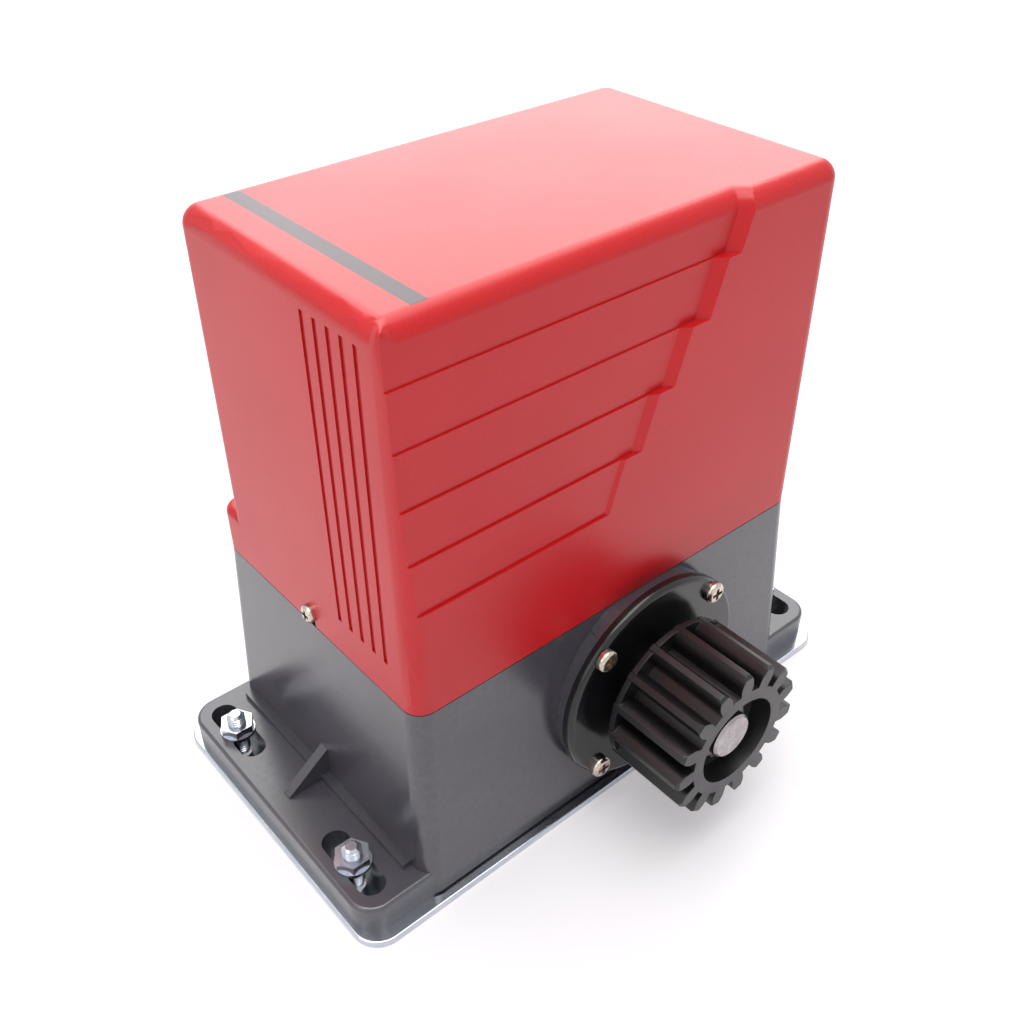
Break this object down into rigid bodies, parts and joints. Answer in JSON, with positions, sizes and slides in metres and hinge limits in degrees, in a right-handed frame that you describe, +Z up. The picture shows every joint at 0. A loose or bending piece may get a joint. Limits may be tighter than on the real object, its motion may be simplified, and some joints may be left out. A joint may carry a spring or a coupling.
{
  "type": "sliding gate motor",
  "caption": "Rack-driving sliding gate motor: lift-off cover over a worm gearbox base with a spur pinion, slotted feet and a zinc-plated floor plate.",
  "frame": {"origin": "centre of the floor plate's underside", "axes": "+Z up, X along the gate and its rack, the pinion stands out of the -Y face"},
  "size_m": [0.27, 0.197, 0.249],
  "materials": {
    "cover_red": "moulded ABS, satin gloss",
    "base_grey": "dark grey satin paint on a die-cast housing",
    "flange_black": "black satin paint on a casting",
    "pinion_black": "black oxidised sintered steel",
    "steel": "turned and ground steel",
    "zinc": "bright zinc plating",
    "nickel": "nickel-plated screws",
    "bronze": "cast bronze",
    "rubber": "black nitrile rubber",
    "motor_steel": "zinc-plated drawn steel can",
    "motor_cap": "die-cast aluminium, as cast",
    "ferrite": "sintered ferrite magnets and carbon brushes",
    "lamination": "stacked silicon-steel laminations",
    "copper": "copper segments and enamelled winding",
    "black_plastic": "black glass-filled nylon",
    "lock_metal": "chromed lock cylinder",
    "board_green": "green solder mask",
    "relay_blue": "blue relay cases",
    "sleeve_blue": "shrink sleeve on a capacitor",
    "terminal_green": "green polyamide terminals"
  },
  "bodies": {
    "base": {"mounting_plate": "zinc", "anchor_studs": "zinc", "stud_washers": "zinc", "stud_nuts": "zinc", "base_housing": "base_grey", "output_flange": "flange_black", "flange_screws": "nickel", "shaft_seal": "rubber", "front_bearing": "steel", "rear_bearing": "steel", "lever_pin": "steel", "gearbox_lid": "flange_black", "lid_gasket": "rubber", "lid_screws": "nickel", "worm_bearings": "steel", "rotor_bearing": "steel", "motor_housing": "motor_steel", "motor_magnets": "ferrite", "motor_end_bell": "motor_cap", "motor_brushes": "ferrite", "motor_screws": "nickel", "cover_screws": "nickel", "cover_seal": "rubber", "board_bracket": "zinc", "board_posts": "black_plastic", "control_board": "board_green", "board_relays": "relay_blue", "smoothing_capacitor": "sleeve_blue", "terminal_blocks": "terminal_green", "control_chip": "black_plastic", "transformer_core": "lamination", "transformer_coil": "copper", "limit_sensor": "black_plastic", "cable_grommet": "rubber"},
    "cover_shell": {"cover": "cover_red"},
    "output": {"output_shaft": "steel", "drive_pinion": "pinion_black", "pinion_key": "steel", "retaining_ring": "steel", "worm_wheel": "bronze"},
    "clutch": {"clutch_ring": "steel"},
    "fork": {"shift_fork": "steel"},
    "lever": {"release_lever": "black_plastic"},
    "lock": {"lock_plug": "lock_metal"},
    "rotor": {"worm_shaft": "steel", "rotor_core": "lamination", "commutator": "copper"}
  },
  "joints": [
    {"name": "cover_lift", "type": "slide", "parent": "base", "child": "cover_shell", "axis": [0, 0, 1], "range_m": [0, 0.17]},
    {"name": "rotor_turn", "type": "hinge", "parent": "base", "child": "rotor", "pos_m": [-0.03, -0.014, 0.0562], "axis": [0, 0, 1], "continuous": true},
    {"name": "output_turn", "type": "hinge", "parent": "base", "child": "output", "pos_m": [0.01, 0, 0.0562], "axis": [0, 1, 0], "continuous": true},
    {"name": "lever_turn", "type": "hinge", "parent": "base", "child": "lever", "pos_m": [-0.042, 0.0635, 0.06], "axis": [0, 0, 1], "range_deg": [0, 90]},
    {"name": "lock_turn", "type": "hinge", "parent": "lever", "child": "lock", "pos_m": [0.026, 0.0675, 0.06], "axis": [0, 1, 0], "range_deg": [0, 90]},
    {"name": "clutch_slide", "type": "slide", "parent": "output", "child": "clutch", "axis": [0, 1, 0], "range_m": [0, 0.004]},
    {"name": "fork_slide", "type": "slide", "parent": "base", "child": "fork", "axis": [0, 1, 0], "range_m": [0, 0.004]}
  ],
  "couplings": [
    {"joint": "rotor_turn", "follows": "output_turn", "ratio": -31},
    {"joint": "clutch_slide", "follows": "lever_turn", "m_per_rad": 0.0025465},
    {"joint": "fork_slide", "follows": "lever_turn", "m_per_rad": 0.0025465}
  ]
}
